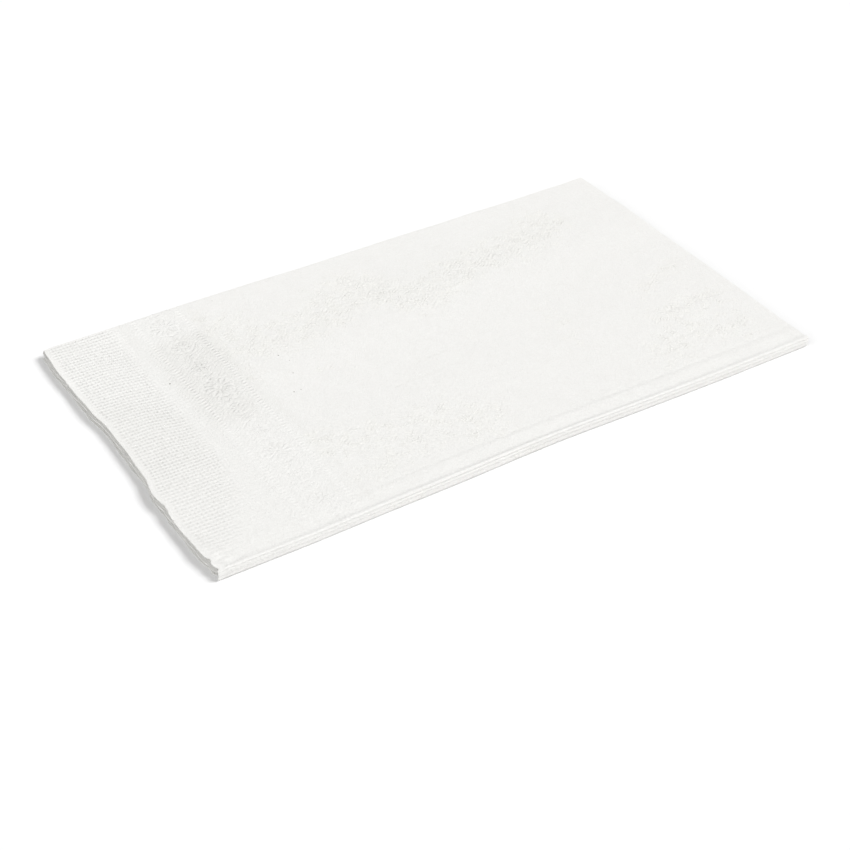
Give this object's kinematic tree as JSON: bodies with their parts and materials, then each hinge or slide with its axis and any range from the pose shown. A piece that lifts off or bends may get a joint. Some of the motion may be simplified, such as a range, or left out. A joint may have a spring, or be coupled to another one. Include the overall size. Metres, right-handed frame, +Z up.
{
  "type": "paper napkin",
  "caption": "White embossed paper dinner napkin, one sheet folded to an eighth into a flat rectangular pad, lying on its underside.",
  "frame": {"origin": "on the table, under the middle of the folded napkin's bounding box", "axes": "+X along the folded napkin from its loose cut edges to the nose of the first fold, +Y across it from the closed rounded fold to the far side, +Z up from the table"},
  "size_m": [0.1908, 0.1088, 0.0033],
  "materials": {
    "napkin_paper": "matte two-ply tissue with an embossed edge, soft and slightly creped"
  },
  "bodies": {
    "root": {"folded_napkin": "napkin_paper"}
  },
  "joints": []
}
